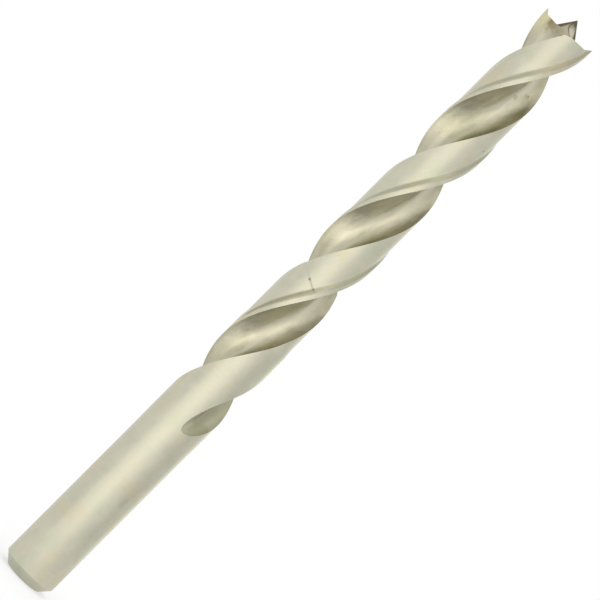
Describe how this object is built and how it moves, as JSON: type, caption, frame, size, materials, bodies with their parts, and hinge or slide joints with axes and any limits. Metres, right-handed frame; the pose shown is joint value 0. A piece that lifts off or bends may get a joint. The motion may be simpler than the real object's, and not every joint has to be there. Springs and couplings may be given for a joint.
{
  "type": "brad point drill bit",
  "caption": "Wood drill bit in one piece: plain chamfered shank, right-hand spiral flutes, brad point with spurs.",
  "frame": {"origin": "centre of the flat end face of the shank, on the bit's axis", "axes": "+Z along the axis from the shank end to the centre point, +X roughly along the cutting lips"},
  "size_m": [0.012, 0.012, 0.1531],
  "materials": {
    "tool_steel": "ground and polished bright steel, satin on the shank"
  },
  "bodies": {
    "root": {"drill_bit": "tool_steel"}
  },
  "joints": []
}
